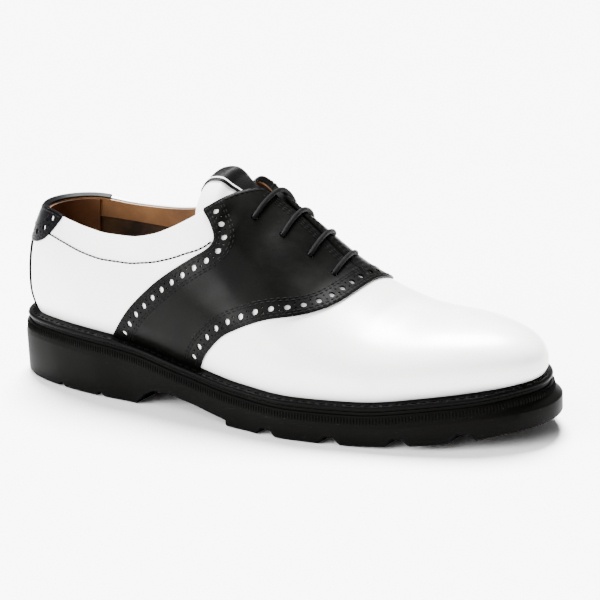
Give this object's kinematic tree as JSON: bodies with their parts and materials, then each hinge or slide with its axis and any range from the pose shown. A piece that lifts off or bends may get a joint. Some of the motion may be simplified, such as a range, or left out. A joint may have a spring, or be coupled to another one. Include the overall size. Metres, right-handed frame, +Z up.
{
  "type": "saddle shoe",
  "caption": "Low saddle shoe for the right foot: white leather upper, black perforated saddle and heel tab, black welt and lugged rubber sole.",
  "frame": {"origin": "on the floor under the middle of the heel tread", "axes": "+X to the toe along the shoe's length, +Y to the inner (big toe) side, +Z up"},
  "size_m": [0.3121, 0.1157, 0.1167],
  "materials": {
    "sole_rubber": "matt moulded rubber",
    "welt_rubber": "satin stitched welt",
    "white_leather": "smooth, semi-gloss",
    "black_leather": "smooth, polished",
    "patent_leather": "glossy",
    "tongue_leather": "smooth, padded",
    "label_ribbon": "satin weave",
    "lace_cord": "braided round lace",
    "insole_leather": "matt tan lining"
  },
  "bodies": {
    "root": {"outsole": "sole_rubber", "welt": "welt_rubber", "insole": "insole_leather", "upper": "white_leather", "saddle": "black_leather", "heel_tab": "patent_leather", "tongue": "tongue_leather", "tongue_label": "label_ribbon", "lace": "lace_cord"}
  },
  "joints": []
}
